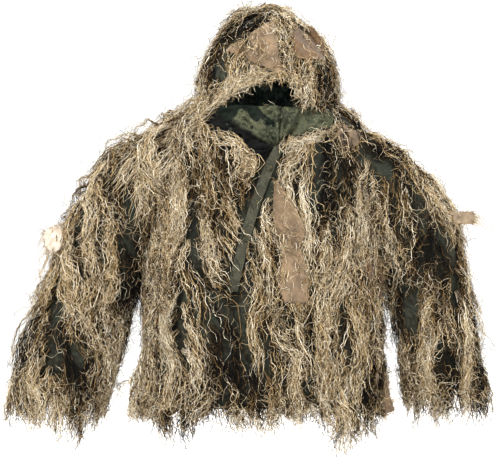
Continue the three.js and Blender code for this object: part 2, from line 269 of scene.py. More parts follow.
def grid_mesh(name, points, closed, keep):
    """A mesh over points[row, column]; closed joins the last column to the first."""
    rows, columns = points.shape[:2]
    index = np.arange(rows * columns).reshape(rows, columns)
    if closed:
        index = np.column_stack([index, index[:, 0]])
    faces = np.stack([index[:-1, :-1], index[:-1, 1:], index[1:, 1:], index[1:, :-1]], -1)
    faces = faces[keep] if keep is not None else faces.reshape(-1, 4)
    mesh = bpy.data.meshes.new(name)
    mesh.from_pydata(points.reshape(-1, 3).tolist(), [], faces.reshape(-1, 4).tolist())
    mesh.polygons.foreach_set("use_smooth", np.ones(len(mesh.polygons), bool))
    mesh.update()
    return mesh


def cloth(name, points, material, thickness=CLOTH, closed=False, keep=None):
    """A sheet over points[row, column], thickened inwards."""
    piece = new_object(name, grid_mesh(name, points, closed, keep), material)
    solid = piece.modifiers.new("thickness", "SOLIDIFY")
    solid.thickness = thickness
    solid.offset = -1
    return piece


def strand_mesh(name, paths, radii, tones):
    """Threads as closed three-sided tubes over paths[thread, point], with a tone for each thread.

    The UV layer gives each tone a column of its own: across it goes the way round the thread, and up
    it the way along. It has the name that the export bakes to, so an exported thread keeps its tone.
    The layer is named OFBake.
    """
    count, points = paths.shape[:2]
    along = unit(np.gradient(paths, axis=1))
    side = unit(np.cross(along, [0.31, 0.87, 0.38]))
    up = np.cross(along, side)
    k = np.arange(3)
    angles = (k * 2 * math.pi / 3)[:, None]
    ring = side[:, :, None] * np.cos(angles) + up[:, :, None] * np.sin(angles)
    vertices = paths[:, :, None] + ring * radii[:, :, None, None]

    base = (np.arange(count) * points * 3)[:, None, None]
    step = (np.arange(points - 1) * 3)[:, None]
    following = (k + 1) % 3
    quads = np.stack([base + step + corner for corner in (k, following, following + 3, k + 3)], -1)
    first, last = base[:, 0] + k[::-1], base[:, 0] + (points - 1) * 3 + k
    loops = np.concatenate([quads.ravel(), first.ravel(), last.ravel()]).astype(np.int32)
    sizes = np.repeat([4, 3], [quads.size // 4, 2 * count])
    mesh = bpy.data.meshes.new(name)
    mesh.vertices.add(vertices.size // 3)
    mesh.vertices.foreach_set("co", vertices.astype(np.float32).ravel())
    mesh.loops.add(len(loops))
    mesh.loops.foreach_set("vertex_index", loops)
    mesh.polygons.add(len(sizes))
    mesh.polygons.foreach_set("loop_start", (np.cumsum(sizes) - sizes).astype(np.int32))
    mesh.polygons.foreach_set("use_smooth", np.ones(len(sizes), bool))

    column = np.floor(np.clip(tones, 0, 0.999) * TONES)
    around = np.stack([k, k + 1, k + 1, k], -1) / 3
    u = (column[:, None, None, None] + 0.1 + 0.8 * around) / TONES
    s = np.arange(points - 1)[:, None, None] / (points - 1)
    v = 0.01 + 0.98 * (s + np.array([0, 0, 1, 1]) / (points - 1))
    sides = np.stack(np.broadcast_arrays(u, v), -1).reshape(-1, 2)
    ends_u = np.tile(np.repeat((column + 0.5) / TONES, 3), 2)
    ends = np.stack([ends_u, np.repeat([0.01, 0.99], 3 * count)], -1)
    uv = np.concatenate([sides, ends])
    layer = mesh.uv_layers.new(name="OFBake")
    layer.data.foreach_set("uv", uv.astype(np.float32).ravel())
    mesh.update(calc_edges=True)
    mesh.validate()
    return mesh


# ---------------------------------------------------------------- materials


def srgb(red, green, blue):
    """A linear colour from sRGB levels of 0 to 255."""
    levels = (c / 255 for c in (red, green, blue))
    return (*(c / 12.92 if c <= 0.04045 else ((c + 0.055) / 1.055) ** 2.4 for c in levels), 1)


def stops(*rows):
    """A colour ramp's stops, each given as its place and its sRGB levels."""
    return [(place, srgb(*levels)) for place, *levels in rows]


def tints(*rows):
    """The same with linear levels, for a ramp that another colour is multiplied by."""
    return [(place, (*levels, 1)) for place, *levels in rows]


WHITE = (1, 1, 1)


class Nodes:
    """A material, with a few short ways to add and join its shader nodes."""

    def __init__(self, name, roughness):
        self.material = bpy.data.materials.new(name)
        self.material.use_nodes = True
        self.tree = self.material.node_tree
        self.shader = self.tree.nodes["Principled BSDF"]
        self.fill(self.shader, {"Roughness": roughness})

    def fill(self, node, inputs):
        """Gives each input its value, or joins it to another node's output."""
        for key, value in inputs.items():
            if isinstance(value, bpy.types.NodeSocket):
                self.tree.links.new(value, node.inputs[key])
            else:
                node.inputs[key].default_value = value

    def shade(self, inputs):
        self.fill(self.shader, inputs)
        return self.material

    def add(self, kind, inputs, **properties):
        node = self.tree.nodes.new("ShaderNode" + kind)
        for key, value in properties.items():
            setattr(node, key, value)
        self.fill(node, inputs)
        return node

    def place(self):
        return self.add("TexCoord", {}).outputs["Object"]

    def split(self, vector):
        return self.add("SeparateXYZ", {0: vector}).outputs

    def math(self, operation, a, b=0.0):
        return self.add("Math", {0: a, 1: b}, operation=operation).outputs[0]

    def plus(self, base, value, factor):
        """base + value * factor"""
        return self.math("ADD", base, self.math("MULTIPLY", value, factor))

    def noise(self, vector, scale, detail=4.0, roughness=0.55):
        inputs = {"Vector": vector, "Scale": scale, "Detail": detail, "Roughness": roughness}
        return self.add("TexNoise", inputs).outputs["Fac"]

    def ramp(self, factor, rows, interpolation="LINEAR"):
        node = self.add("ValToRGB", {"Fac": factor})
        ramp = node.color_ramp
        ramp.interpolation = interpolation
        while len(ramp.elements) < len(rows):
            ramp.elements.new(0.5)
        for element, (place, colour) in zip(ramp.elements, rows):
            element.position = place
            element.color = colour
        return node.outputs["Color"]

    def mix(self, factor, a, b, blend="MIX"):
        return self.add("Mix", {0: factor, 6: a, 7: b}, data_type="RGBA", blend_type=blend).outputs[2]

    def bump(self, height, strength, distance):
        inputs = {"Height": height, "Strength": strength, "Distance": distance}
        return self.add("Bump", inputs).outputs[0]


def woven(nodes, where, pitch):
    """The height of a plain weave of the given pitch, from 0 to 1."""
    axes = nodes.split(where)
    phases = (nodes.math("MULTIPLY", axes[axis], math.pi / pitch) for axis in "XZ")
    ribs = [nodes.math("ABSOLUTE", nodes.math("SINE", phase)) for phase in phases]
    return nodes.math("MAXIMUM", *ribs)


def jute_material(name, rows):
    """Twisted hairy thread, whose colour goes by the UV column's tone."""
    nodes = Nodes(name, 0.85)
    across, along, _ = nodes.split(nodes.add("UVMap", {}, uv_map="OFBake").outputs[0])
    columns = nodes.math("MULTIPLY", across, float(TONES))
    tone = nodes.math("DIVIDE", nodes.math("FLOOR", columns), float(TONES))
    around = nodes.math("FRACT", columns)
    patch = nodes.add("CombineXYZ", {0: nodes.math("MULTIPLY", tone, 40.0), 1: along})
    stain = nodes.noise(patch.outputs[0], 14.0, 5.0, 0.75)
    blotch = nodes.ramp(stain, stops((0.34, 70, 52, 30), (0.50, 206, 194, 170)) + tints((0.62, *WHITE)))
    colour = nodes.mix(0.85, nodes.ramp(tone, rows), blotch, "MULTIPLY")
    # Darker towards the root: dust, and painted shade where the threads lie on the cloth.
    root = nodes.ramp(along, tints((0.0, 0.35, 0.32, 0.28), (0.30, *WHITE)))
    ply = nodes.math("SINE", nodes.math("MULTIPLY", nodes.plus(around, along, 60.0), 4 * math.pi))
    return nodes.shade({
        "Base Color": nodes.mix(1.0, colour, root, "MULTIPLY"),
        "Roughness": nodes.plus(0.82, ply, 0.08),
        "Normal": nodes.bump(ply, 0.5, 0.0004),
        "Sheen Weight": 0.04,
        "Sheen Roughness": 0.5,
        "Specular IOR Level": 0.15,
    })


def paint_shade(nodes, colour, value, start, full, dark):
    """The colour, darkened by painted shade as the value goes from start to full."""
    share = nodes.add("MapRange", {"Value": value, "From Min": start, "From Max": full})
    return nodes.mix(share.outputs[0], colour, dark)


def cloth_material(name, rows, blotch, pitch, fade=0.25, crease=0.35, painted_shade=None):
    """Matt woven cloth with blotches of colour, a weave, and pale dust.

    The last argument gives where across the front painted shade starts to darken the cloth, and
    where it is full, and the same two along a line that falls towards the left, for a painted shadow.
    """
    nodes = Nodes(name, 0.9)
    where = nodes.place()
    warp = nodes.noise(where, blotch * 0.8, 3.0)
    bent = nodes.add("VectorMath", {0: where, 1: warp}, operation="ADD").outputs[0]
    colour = nodes.ramp(nodes.noise(bent, blotch, 2.0, 0.45), rows, "EASE")
    dust = nodes.noise(where, 22.0, 6.0, 0.7)
    colour = nodes.mix(nodes.math("MULTIPLY", dust, fade), colour, srgb(150, 146, 122))
    if painted_shade:
        # The noise that bends a place moves it by a half on average.
        start, full, low_start, low_full = painted_shade
        # Painted shade: the cloth turns dark teal towards the wearer's right, in the hood's shadow.
        colour = paint_shade(nodes, colour, nodes.split(bent)["X"], start + 0.5, full + 0.5, srgb(20, 28, 20))
        # Painted shadow: near black below a line that falls towards the left, at the foot of the V.
        x, _, z = nodes.split(where)
        low = nodes.math("ADD", nodes.math("MULTIPLY", x, 0.6), z)
        colour = paint_shade(nodes, colour, low, low_start, low_full, srgb(6, 8, 6))
    weave = woven(nodes, where, pitch)
    gaps = nodes.ramp(weave, tints((0.0, 0.6, 0.6, 0.6), (1.0, *WHITE)))
    wrinkle = nodes.noise(where, 38.0, 5.0, 0.6)
    return nodes.shade({
        "Base Color": nodes.mix(0.6, colour, gaps, "MULTIPLY"),
        "Roughness": nodes.plus(0.78, dust, 0.2),
        "Normal": nodes.bump(nodes.plus(wrinkle, weave, 0.12), crease, 0.006),
        "Sheen Weight": 0.03,
        "Specular IOR Level": 0.2,
    })


def burlap_material(name, light, dark):
    """Open plain-weave jute: fat uneven yarns with dark gaps between them."""
    nodes = Nodes(name, 0.92)
    where = nodes.place()
    yarn = woven(nodes, where, 0.0022)
    slub = nodes.noise(where, 160.0, 4.0, 0.7)
    cloud = nodes.ramp(nodes.noise(where, 24.0, 5.0, 0.65), tints((0.38, 0, 0, 0), (0.62, *WHITE)))
    colour = nodes.mix(cloud, srgb(*light), srgb(*dark))
    gaps = nodes.ramp(yarn, tints((0.25, 0.35, 0.3, 0.24), (0.75, *WHITE)))
    colour = nodes.mix(0.8, colour, gaps, "MULTIPLY")
    return nodes.shade({
        "Base Color": nodes.mix(nodes.math("MULTIPLY", slub, 0.2), colour, srgb(190, 162, 130)),
        "Roughness": nodes.plus(0.8, slub, 0.18),
        "Normal": nodes.bump(nodes.math("ADD", yarn, slub), 0.7, 0.0012),
        "Sheen Weight": 0.2,
    })


def metal_material(name):
    """Brass painted olive, rubbed bare in places."""
    nodes = Nodes(name, 0.5)
    wear = nodes.noise(nodes.place(), 300.0, 5.0, 0.7)
    return nodes.shade({
        "Base Color": nodes.ramp(wear, stops((0.50, 44, 48, 36), (0.75, 120, 104, 66))),
        "Metallic": 0.5,
        "Roughness": nodes.plus(0.3, wear, 0.35),
        "Normal": nodes.bump(wear, 0.2, 0.0004),
    })


JUTE = jute_material("jute_fringe", stops(
    (0.00, 9, 8, 6), (0.14, 24, 20, 13), (0.26, 80, 64, 42), (0.38, 154, 129, 90),
    (0.55, 212, 190, 150), (0.72, 240, 224, 194), (0.88, 252, 244, 226), (1.00, 253, 249, 238),
))
CAMO = cloth_material("camo_fabric", stops(
    (0.30, 8, 10, 9), (0.42, 18, 22, 20), (0.54, 44, 48, 40), (0.66, 22, 20, 15)
), 9.0, 0.0016, 0.08)
# Olive, the cloth's own colour, in swirls of lighter and darker that are painted highlights and shade
# of crumples.
SWIRLS_AND_PAINTED_CREASE_LIGHT = stops(
    (0.34, 18, 26, 18), (0.46, 52, 56, 42), (0.53, 90, 92, 70), (0.60, 56, 60, 46), (0.70, 96, 96, 74)
)
OLIVE = cloth_material("olive_fabric", SWIRLS_AND_PAINTED_CREASE_LIGHT, 24.0, 0.0016, 0.10, 0.9)
# The right throat flap's olive cloth, with painted shade towards the wearer's right and painted shadow
# at the foot of the V, at these places.
PAINTED_SHADE_PLACES = (-0.035, -0.070, -0.068, -0.086)
OLIVE_PAINTED_SHADE = cloth_material("olive_painted_shade", SWIRLS_AND_PAINTED_CREASE_LIGHT, 24.0, 0.0016, 0.10, 0.9, PAINTED_SHADE_PLACES)
FLY = cloth_material("fly_fabric", stops((0.3, 42, 42, 35), (0.7, 66, 66, 55)), 20.0, 0.0016, 0.10, 0.7)
# Near-black cloth under the fly: painted shadow beside the fly strip.
FLY_SHADOW_FABRIC = cloth_material("fly_shadow_fabric", stops((0.3, 8, 9, 8), (0.7, 24, 26, 22)), 12.0, 0.0016, 0.05)
LINING = cloth_material("lining_fabric", stops(
    (0.36, 24, 42, 40), (0.50, 70, 88, 82), (0.62, 112, 124, 112)
), 22.0, 0.0014, 0.12, 0.6)
WEBBING = cloth_material("webbing", stops((0.3, 70, 72, 50), (0.7, 86, 86, 62)), 40.0, 0.002)
BURLAP = burlap_material("burlap", (118, 99, 76), (70, 56, 40))
BURLAP_FADED = burlap_material("burlap_faded", (146, 131, 110), (102, 88, 70))
BURLAP_PALE = burlap_material("burlap_pale", (202, 190, 176), (164, 150, 136))
BURLAP_BROWN = burlap_material("burlap_brown", (96, 68, 34), (58, 40, 18))
METAL = metal_material("snap_metal")


# ---------------------------------------------------------------- camera, floor and light


def look_at(thing, place, target):
    thing.location = place
    thing.rotation_euler = (Vector(target) - Vector(place)).to_track_quat("-Z", "Y").to_euler()


def studio():
    view_centre = Vector((-0.039, 0.0, -0.308))
    view_width = 1.347
    camera = bpy.data.objects.new("camera", bpy.data.cameras.new("camera"))
    camera.data.lens = 100
    distance = view_width * camera.data.lens / camera.data.sensor_width
    look_at(camera, view_centre + Vector((0, -distance, 0)), view_centre)
    bpy.context.scene.collection.objects.link(camera)
    bpy.context.scene.camera = camera

    floor_mesh = bpy.data.meshes.new("floor")
    reach, low = 14.0, CAD_BOX[0][2] - 0.25
    corners = [(reach * x, reach * y, low) for x, y in ((-1, -1), (1, -1), (1, 1), (-1, 1))]
    floor_mesh.from_pydata(corners, [], [(0, 1, 2, 3)])
    paper = Nodes("paper", 0.9).shade({"Base Color": (0.9, 0.9, 0.9, 1)})
    new_object("floor", floor_mesh, paper)

    world = bpy.data.worlds.new("studio")
    bpy.context.scene.world = world
    world.use_nodes = True
    world.node_tree.nodes["Background"].inputs["Color"].default_value = (1, 1, 1, 1)
    world.node_tree.nodes["Background"].inputs["Strength"].default_value = 0.98
    lamps = {
        "key": ((-1.6, -3.0, 2.6), 1.0, 245),
        "fill": ((2.4, -2.4, 0.6), 2.0, 40),
        "back": ((0.6, 2.8, 2.2), 2.0, 90),
    }
    for name, (place, size, power) in lamps.items():
        light = bpy.data.lights.new(name, "AREA")
        light.size = size
        light.energy = power
        lamp = bpy.data.objects.new(name, light)
        look_at(lamp, place, (0, 0, -0.3))
        bpy.context.scene.collection.objects.link(lamp)
    bpy.context.scene.view_settings.view_transform = "Standard"
    bpy.context.scene.view_settings.look = "Medium High Contrast"


studio()


# ---------------------------------------------------------------- cloth panels


def front_edge(side, height):
    """Where a front panel ends: plumb, then slanting to the V's foot, then out along the V."""
    neck = 0.196 if side == "left" else -0.168
    heights = [-0.9, SLANT_FOOT[1], V_FOOT[1], 0.024]
    return np.interp(height, heights, [SLANT_FOOT[0], SLANT_FOOT[0], V_FOOT[0], neck])


def front_angle(x, height):
    """The torso angle at which the front surface passes x."""
    share = np.clip(x / smooth(TORSO, height)[..., 0], -0.999, 0.999)
    return -np.arccos(np.sign(share) * np.abs(share) ** (SQUARENESS / 2))


def on_front(x, z, offset=0.0):
    """The front surface's points where it is seen at (x, z)."""
    return np.stack([x, torso_point(front_angle(x, z), z, offset)[..., 1], z], -1)


def flat_points(x, z):
    return np.stack([x, z, 0 * x], -1)


def inside_torso(points):
    size = smooth(TORSO, points[..., 2])
    share = np.abs(points[..., 0] / size[..., 0]) ** SQUARENESS
    share = share + np.abs(points[..., 1] / size[..., 1]) ** SQUARENESS
    return (share < 1) & (points[..., 2] < TORSO[-1, 0])


def folds(points, seed):
    """How far loose cloth stands in or out at rest: long soft folds with small creases on them."""
    stretched = points * np.array([1.0, 1.0, 0.45])
    return 0.0045 * rumple(stretched, seed, 0.085) + 0.0016 * rumple(points, seed + 1, 0.030)


def torso_panel(name, angles, heights):
    offset = folds(torso_point(angles, heights), 11) - UNDER_HULL
    points = torso_point(angles, heights, offset)
    centres = (points[:-1, :-1] + points[1:, 1:]) / 2
    return cloth(name, points, CAMO, keep=~inside_sleeves(centres, ARMHOLE))


def torso_cloth():
    heights = np.linspace(HEM, NECK_SEAM, 110)
    back = torso_panel("back_panel_cloth", *np.meshgrid(np.linspace(0, math.pi, 130), heights))
    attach(back, "jacket")
    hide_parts("back_panel")
    for side, seam, overlap in (("left", 0.0, 0.0), ("right", -math.pi, 0.022)):
        edge = front_angle(front_edge(side, heights) + overlap * (heights < V_FOOT[1]), heights)
        angles = seam + (edge - seam)[:, None] * np.linspace(0, 1, 80)
        if side == "left":
            angles = angles[:, ::-1]
        rows = np.repeat(heights[:, None], 80, axis=1)
        panel = torso_panel(f"front_panel_{side}_cloth", angles, rows)
        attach(panel, "jacket")
        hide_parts(f"front_panel_{side}")


def sleeve_tube(name, side, start, end, rows, material, tighten=None):
    turn = 1 if side == "right" else -1
    angles = turn * np.linspace(0, 2 * math.pi, 72, endpoint=False)
    t, angle = np.meshgrid(np.linspace(start, end, rows), angles, indexing="ij")
    offset = folds(sleeve_point(side, t, angle), 31) - UNDER_HULL
    if tighten is not None:
        offset = offset * 0.3 - tighten(t, angle)
    return cloth(name, sleeve_point(side, t, angle, offset), material, closed=True)


def gathers(t, angle):
    """How far a cuff is drawn in, most in the middle of its width, with small pleats."""
    drawn = 0.012 * np.sin(math.pi * (t - CUFF_START) / (CUFF_END - CUFF_START))
    return drawn * (1 + 0.2 * np.cos(30 * angle))


def sleeve_cloth():
    for side in SIDES:
        upper = sleeve_tube(f"shoulder_cloth_{side}", side, 0.0, MID_UPPER_ARM, 50, CAMO)
        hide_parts(f"shoulder_gusset_{side}")
        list(turns(side, "shoulder"))
        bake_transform(upper)
        lower = sleeve_tube(f"sleeve_cloth_{side}", side, MID_UPPER_ARM, CUFF_START, 90, CAMO)
        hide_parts(f"sleeve_upper_{side}", f"elbow_section_{side}", f"sleeve_lower_{side}")
        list(turns(side, "elbow"))
        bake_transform(lower)
        cuff = sleeve_tube(f"cuff_cloth_{side}", side, CUFF_START, CUFF_END, 12, OLIVE, gathers)
        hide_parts(f"cuff_{side}")
        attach(cuff, f"lower_sleeve_{side}")


# ---------------------------------------------------------------- hood, neck and fly


def face_edge(x):
    """The height of the face opening's arched upper edge, or below the hood where there is none."""
    xs = mm([-140, -132, -96, -36, 50, 84, 96, 104])
    return np.interp(x, xs, mm([-100, 36, 62, 82, 84, 66, 30, -100]))


def sagging(points, seed):
    """How far the loose lining at the back of the hood sags forwards, behind the face opening."""
    x, y, z = np.moveaxis(points, -1, 0)
    near = np.exp(-(((x - 0.02) / 0.10) ** 2) - ((z - 0.06) / 0.07) ** 2) * (y > 0)
    return near * (0.115 + 0.012 * rumple(points, seed, 0.045) + 0.006 * rumple(points, seed + 1, 0.02))


def hood_layer(name, offset, material, sag=False):
    seed = 51
    angles = np.linspace(0, 2 * math.pi, 150, endpoint=False)
    rise = (HOOD[-1, 0] - NECK_SEAM) * np.sin(np.linspace(0, math.pi / 2, 80))
    height, angle = np.meshgrid(NECK_SEAM + rise, angles, indexing="ij")
    folding = 1.2 * folds(hood_point(angle, height, offset), seed)
    points = hood_point(angle, height, offset + folding)
    if sag:
        points[..., 1] -= sagging(points, seed)
    crown = points[-1].mean(0)
    points[-1] = crown + 0.04 * (points[-1] - crown)
    centres = (points[:-1] + points[1:]) / 2
    keep = ~((centres[..., 1] < 0) & (centres[..., 2] < face_edge(centres[..., 0])))
    return cloth(name, points, material, THIN_CLOTH, True, keep)


def hood_cloth():
    shell = hood_layer("hood_cloth", 0.0, CAMO)
    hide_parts("hood_left", "hood_crown", "hood_right", "neck_band")
    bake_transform(shell)
    lining = hood_layer("hood_lining_cloth", -0.007, LINING, True)
    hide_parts("hood_lining")
    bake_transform(lining)


def neck_cloth():
    angles = np.linspace(-0.25, math.pi + 0.25, 120)
    height, angle = np.meshgrid(np.linspace(-0.13, NECK_SEAM, 50), angles, indexing="ij")
    gather = 0.006 * rumple(flat_points(angle * 0.12, height * 0.2), 61, 0.035)
    points = torso_point(angle, height, gather + folds(torso_point(angle, height), 62) - 0.008)
    lining = cloth("neck_lining_cloth", points, OLIVE, THIN_CLOTH)
    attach(lining, "jacket")
    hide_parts("neck_lining")


def flap_creases(rest, seed=71):
    """Folds that fan out from the foot of the V, with smaller ones across them."""
    away = rest[..., :2] - V_FOOT
    fan = np.arctan2(away[..., 1], away[..., 0])[..., None] * np.array([0.12, 0, 0])
    sizes = (0.0065, fan, 0.026), (0.0055, rest, 0.038), (0.0025, rest, 0.015)
    return sum(high * rumple(where, seed + k, wide) for k, (high, where, wide) in enumerate(sizes))


def flap_points(xs, low, high, lift):
    """Creased cloth on the front, between two edges given in millimetres across and up."""
    x = np.linspace(*mm(xs), 90)
    bottom, top = np.interp(x, *mm(low).T), np.interp(x, *mm(high).T)
    z = bottom + (top - bottom) * np.linspace(0, 1, 50)[:, None]
    x = np.repeat(x[None], 50, 0)
    return on_front(x, z, lift + flap_creases(flat_points(x, z)))


def throat_flaps():
    """Each side's cloth, its ends, its lower and upper edges, its lift, and its flat size and area."""
    flaps = {
        "right": (
            OLIVE_PAINTED_SHADE, (-160, 80),
            [(-160, -14), (-126, -52), (-60, -60), (-46, -92), (-14, -126), (11, -112), (80, -40)],
            [(-160, 6), (-140, 16), (80, 12)],
            0.012, (0.30, 0.13), 0.0260,
        ),
        "left": (
            OLIVE, (28, 188),
            [(28, -92), (49, -66), (81, -64), (175, -40), (188, -4)],
            [(28, -82), (50, -34), (78, 14), (188, 4)],
            0.018, (0.17, 0.09), 0.0100,
        ),
    }
    for side, (material, xs, low, high, lift, flat, area) in flaps.items():
        points = flap_points(xs, low, high, lift)
        flap = cloth(f"throat_flap_{side}_cloth", points, material, THIN_CLOTH)
        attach(flap, "jacket")
        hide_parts(f"throat_flap_{side}")


def fittings():
    """The press studs and the hanger loop keep their CAD shapes."""
    for piece in bpy.data.objects:
        if piece.name.startswith("snap_"):
            piece.material_slots[0].material = METAL
    bpy.data.objects["hanger_loop"].material_slots[0].material = WEBBING


def over_fly():
    """The plain strip down the front, in a slight S, with a stitched line along each edge."""
    half, clearance = 0.014, 0.0125
    along, across = np.linspace(0, 1, 120), np.linspace(-1, 1, 17)
    top, foot = V_FOOT + mm([-2, 12]), SLANT_FOOT + mm([2, 2])
    centre = top + (foot - top) * along[:, None]
    centre[:, 0] += 0.010 * np.exp(-along / 0.12) - 0.010 * np.sin(math.pi * along)
    x = centre[:, :1] + across * half
    z = np.repeat(centre[:, 1:], len(across), 1)
    rest = flat_points(x, z)
    stitch = -0.0012 * np.exp(-(((np.abs(across) - 0.72) / 0.09) ** 2))
    offset = clearance + 0.0025 * rumple(rest, 81, 0.07) + 0.0008 * rumple(rest, 82, 0.02) + stitch
    fly = cloth("over_fly_cloth", on_front(x, z, offset)[:, ::-1], FLY, FLY_CLOTH)
    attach(fly, "fly")
    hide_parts("over_fly")


def under_fly():
    heights = np.linspace(-0.70, -0.106, 90)
    x = np.interp(heights, [-0.9, SLANT_FOOT[1], V_FOOT[1]], [-0.090, -0.090, 0.026])[:, None]
    x = x + np.linspace(-1, 1, 9) * 0.024
    z = np.repeat(heights[:, None], 9, 1)
    # The cloth under the fly is near black: painted shadow beside the fly strip.
    under = cloth("under_fly_cloth", on_front(x, z, -0.006), FLY_SHADOW_FABRIC, UNDER_FLY_CLOTH)
    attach(under, "jacket")
    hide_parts("under_fly")


torso_cloth()
sleeve_cloth()
hood_cloth()
neck_cloth()
throat_flaps()
over_fly()
under_fly()
fittings()


# ---------------------------------------------------------------- jute threads


def hull_tree():
    """The garment's bare surface, for threads to lie on."""
    vertices, faces = [], []

    def add(points):
        index = len(vertices) + np.arange(points[..., 0].size).reshape(points.shape[:2])
        following = np.roll(index, -1, 1)
        vertices.extend(points.reshape(-1, 3).tolist())
        quads = np.stack([index[:-1], following[:-1], following[1:], index[1:]], -1)
        faces.extend(quads.reshape(-1, 4).tolist())

    around = np.linspace(0, 2 * math.pi, 96, endpoint=False)
    heights, angles = np.meshgrid(np.linspace(-0.9, TORSO[-1, 0], 90), around, indexing="ij")
    add(torso_point(angles, heights))
    rise = HOOD[-1, 0] * np.sin(np.linspace(0, math.pi / 2, 50))
    heights, angles = np.meshgrid(rise, around, indexing="ij")
    add(hood_point(angles, heights))
    for side, turn in (("right", 1), ("left", -1)):
        t, angles = np.meshgrid(np.linspace(0.04, 1, 60), turn * around, indexing="ij")
        add(sleeve_point(side, t, angles))
    return BVHTree.FromPolygons(vertices, faces)


HULL = hull_tree()


def nearest(points):
    """The nearest place on the hull to each point, with the outward direction there."""
    found = [HULL.find_nearest(point) for point in points.tolist()]
    places = np.array([tuple(f[0]) for f in found])
    out = np.array([tuple(f[1]) for f in found])
    return places, out


# The bare stretch across the throat and the face opening, as an outline seen from the front.
BARE = mm([
    [-141, 26], [-156, -12], [-126, -48], [-60, -55], [-46, -86], [-16, -122], [8, -116], [30, -86],
    [49, -60], [81, -60], [172, -38], [184, -4], [130, 14], [80, 20], [80, 80], [22, 92], [-13, 84],
    [-54, 60], [-100, 40],
])
# The fly strip and the shadow beside it, which few threads cross.
FLY_BAND = mm([
    [30, -90], [74, -90], [52, -150], [6, -235], [-40, -330], [-68, -472], [-104, -472], [-78, -330],
    [-54, -235], [-36, -174], [-18, -150], [-18, -120],
])
# The brown burlap at the hood's side, which most threads leave bare.
HOOD_PATCH = mm([[84, 228], [130, 216], [154, 180], [154, 142], [92, 142]])


def in_outline(points, outline):
    """Which points lie inside an outline, both seen from the front."""
    x, z = points[..., 0], points[..., 2]
    inside = np.zeros(x.shape, bool)
    for (x0, z0), (x1, z1) in zip(outline, np.roll(outline, -1, 0)):
        crosses = (z0 > z) != (z1 > z)
        inside ^= crosses & (x < x0 + (x1 - x0) * (z - z0) / (z1 - z0 + 1e-12))
    return inside


def streak(points, place):
    """1 inside a rounded streak seen from the front, fading to 0 at its edge."""
    start, end, radius = place[:2], place[2:4], place[4]
    seen, along = points[..., [0, 2]], end - start
    share = np.clip(((seen - start) @ along) / max(along @ along, 1e-9), 0, 1)
    away = np.linalg.norm(seen - start - share[..., None] * along, axis=-1)
    return np.clip(1.5 - 1.5 * away / radius, 0, 1)


# Places where the jute is darker and thinner, dark jute in some and painted shadow of folds in others:
# a streak's two ends across and up, and its radius.
DARK_AND_SHADOW_STREAKS = mm([
    [-556, -560, -484, -712, 33], [-486, -712, -496, -780, 20], [-600, -550, -652, -655, 24],
    [-360, -360, -350, -560, 34], [-400, -180, -330, -290, 26], [-530, -230, -540, -270, 26],
    [210, -72, 305, -86, 46], [312, -96, 334, -150, 42], [-100, -130, -138, -235, 14],
    [-55, -180, -64, -270, 14], [200, -130, 160, -240, 40], [400, -330, 500, -420, 50],
    [380, -480, 350, -600, 30], [-108, -560, -70, -690, 76], [-250, -800, -200, -830, 34],
    [300, -700, 260, -780, 34], [-130, 100, -100, 190, 30], [-60, 225, 0, 240, 30],
    [150, 100, 165, 70, 24],
])
# Places where the jute stands further off the cloth: a streak as above, and how much further.
BULKY = mm([
    [-170, 10, -330, -50, 70, 34], [-330, -50, -500, -240, 60, 24], [-560, -420, -640, -640, 60, 16],
    [-340, -620, -330, -800, 50, 34], [450, -170, 500, -260, 50, 14], [560, -480, 590, -680, 50, 12],
    [-40, 300, 60, 300, 60, 14], [60, 300, 170, 220, 50, 12],
])


def bulk(points):
    return np.max([streak(points, place) * place[5] for place in BULKY], axis=0)


# How dark the jute is at each place, from 0 to 1: in the streaks in front it is dark jute in some and
# painted fold shadow in others; on the back and scattered about, patches at random.
def darkness_and_shadow(points):
    front = np.max([streak(points, place) for place in DARK_AND_SHADOW_STREAKS], axis=0) * (points[..., 1] < 0.03)
    elsewhere = np.clip(rumple(points, 401, 0.16) - 1.15, 0, 1) * 2.5 * (points[..., 1] > 0.0)
    scattered = np.clip(rumple(points * [1, 1, 0.5], 402, 0.07) - 1.35, 0, 1) * 3
    return np.clip(front + elsewhere + scattered, 0, 1)


def lock_slope(points, out):
    """How far a place is from a lock's middle, and the way sideways along the cloth out of the lock."""
    step = 0.003

    def field(where):
        return rumple(where * [1, 1, 0.25], 411, LOCK_WIDTH)

    here = field(points)
    slope = np.stack([(field(points + step * axis) - here) / step for axis in np.eye(3)], -1)
    return here, slope - out * (slope * out).sum(-1, keepdims=True)


def hem_fringe(points):
    """The height that the lowest threads hang to, under each place."""
    x, y = points[..., 0], points[..., 1]
    places = mm([
        [-720, -740], [-660, -800], [-620, -835], [-560, -800], [-530, -885], [-490, -905],
        [-440, -885], [-400, -800], [-375, -790], [-300, -830], [-230, -865], [-100, -835],
        [-20, -845], [50, -800], [90, -775], [130, -800], [160, -870], [240, -885], [280, -830],
        [330, -775], [360, -760], [400, -790], [500, -810], [560, -785], [600, -740],
    ])
    front = np.interp(x, *places.T)
    back = -0.835 + 0.035 * rumple(points * [1, 0, 0], 421, 0.12)
    share = np.clip(0.5 - y / 0.06, 0, 1)
    return share * front + (1 - share) * back


